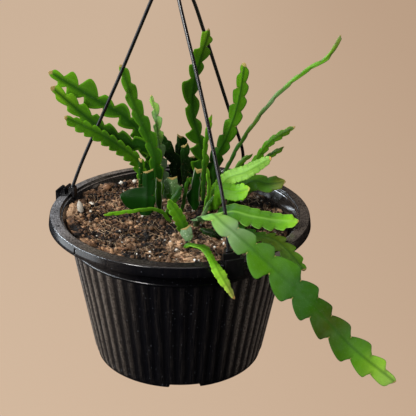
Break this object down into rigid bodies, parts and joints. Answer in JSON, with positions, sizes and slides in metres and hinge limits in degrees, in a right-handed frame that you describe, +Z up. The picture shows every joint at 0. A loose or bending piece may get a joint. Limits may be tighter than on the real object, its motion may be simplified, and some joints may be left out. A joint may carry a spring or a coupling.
{
  "type": "hanging basket plant",
  "caption": "Fishbone cactus with flat lobed stems, growing in a black plastic hanging pot that three strands carry from a hook.",
  "frame": {"origin": "the seat of the hook, the point inside the top of its loop that the whole thing hangs from", "axes": "+X to the viewer's right, +Y away from the viewer, +Z up; the loop of the hook lies in the XZ plane"},
  "size_m": [0.3331, 0.2946, 0.4476],
  "materials": {
    "pot_plastic": "satin",
    "hanger_plastic": "satin",
    "soil": "matte",
    "green_deep": "satin",
    "green_dark": "satin",
    "green_mid": "satin",
    "green_bright": "satin",
    "green_light": "satin",
    "green_lime": "satin",
    "green_pale": "satin",
    "green_olive": "satin",
    "green_grey": "satin",
    "green_glaucous": "satin"
  },
  "bodies": {
    "root": {"pot": "pot_plastic", "soil": "soil", "hanger_hook": "hanger_plastic", "strand_left": "hanger_plastic", "strand_front": "hanger_plastic", "strand_back": "hanger_plastic", "stem_left_high": "green_mid", "stem_left_middle": "green_dark", "stem_left_low": "green_light", "stem_left_upright": "green_mid", "stem_left_pale": "green_grey", "stem_centre_tall": "green_dark", "stem_centre_slim": "green_light", "stem_centre_crenate": "green_dark", "stump_back_left": "green_deep", "stump_back_cut": "green_deep", "stump_back_middle": "green_deep", "stump_back_right": "green_deep", "stem_right_whip": "green_mid", "stem_right_upper": "green_mid", "stem_right_short": "green_mid", "stem_right_bud": "green_mid", "stem_right_broad": "green_pale", "stem_right_small": "green_pale", "stem_right_olive": "green_olive", "stem_right_arching": "green_bright", "stem_trailing": "green_glaucous", "stem_trailing_back": "green_mid", "stem_front_young": "green_lime", "stump_front_pad": "green_grey", "stem_front_over_rim": "green_lime", "stump_front_lobed": "green_mid", "stump_front_left": "green_dark", "stump_folded": "green_mid", "stem_front_creeping": "green_light", "stem_front_leaf": "green_light", "stump_grey": "green_grey", "stump_centre": "green_deep", "stem_centre_thread": "green_light", "stem_left_thread": "green_dark", "stem_pale_stalk": "green_grey", "stem_dark_low": "green_deep"}
  },
  "joints": []
}
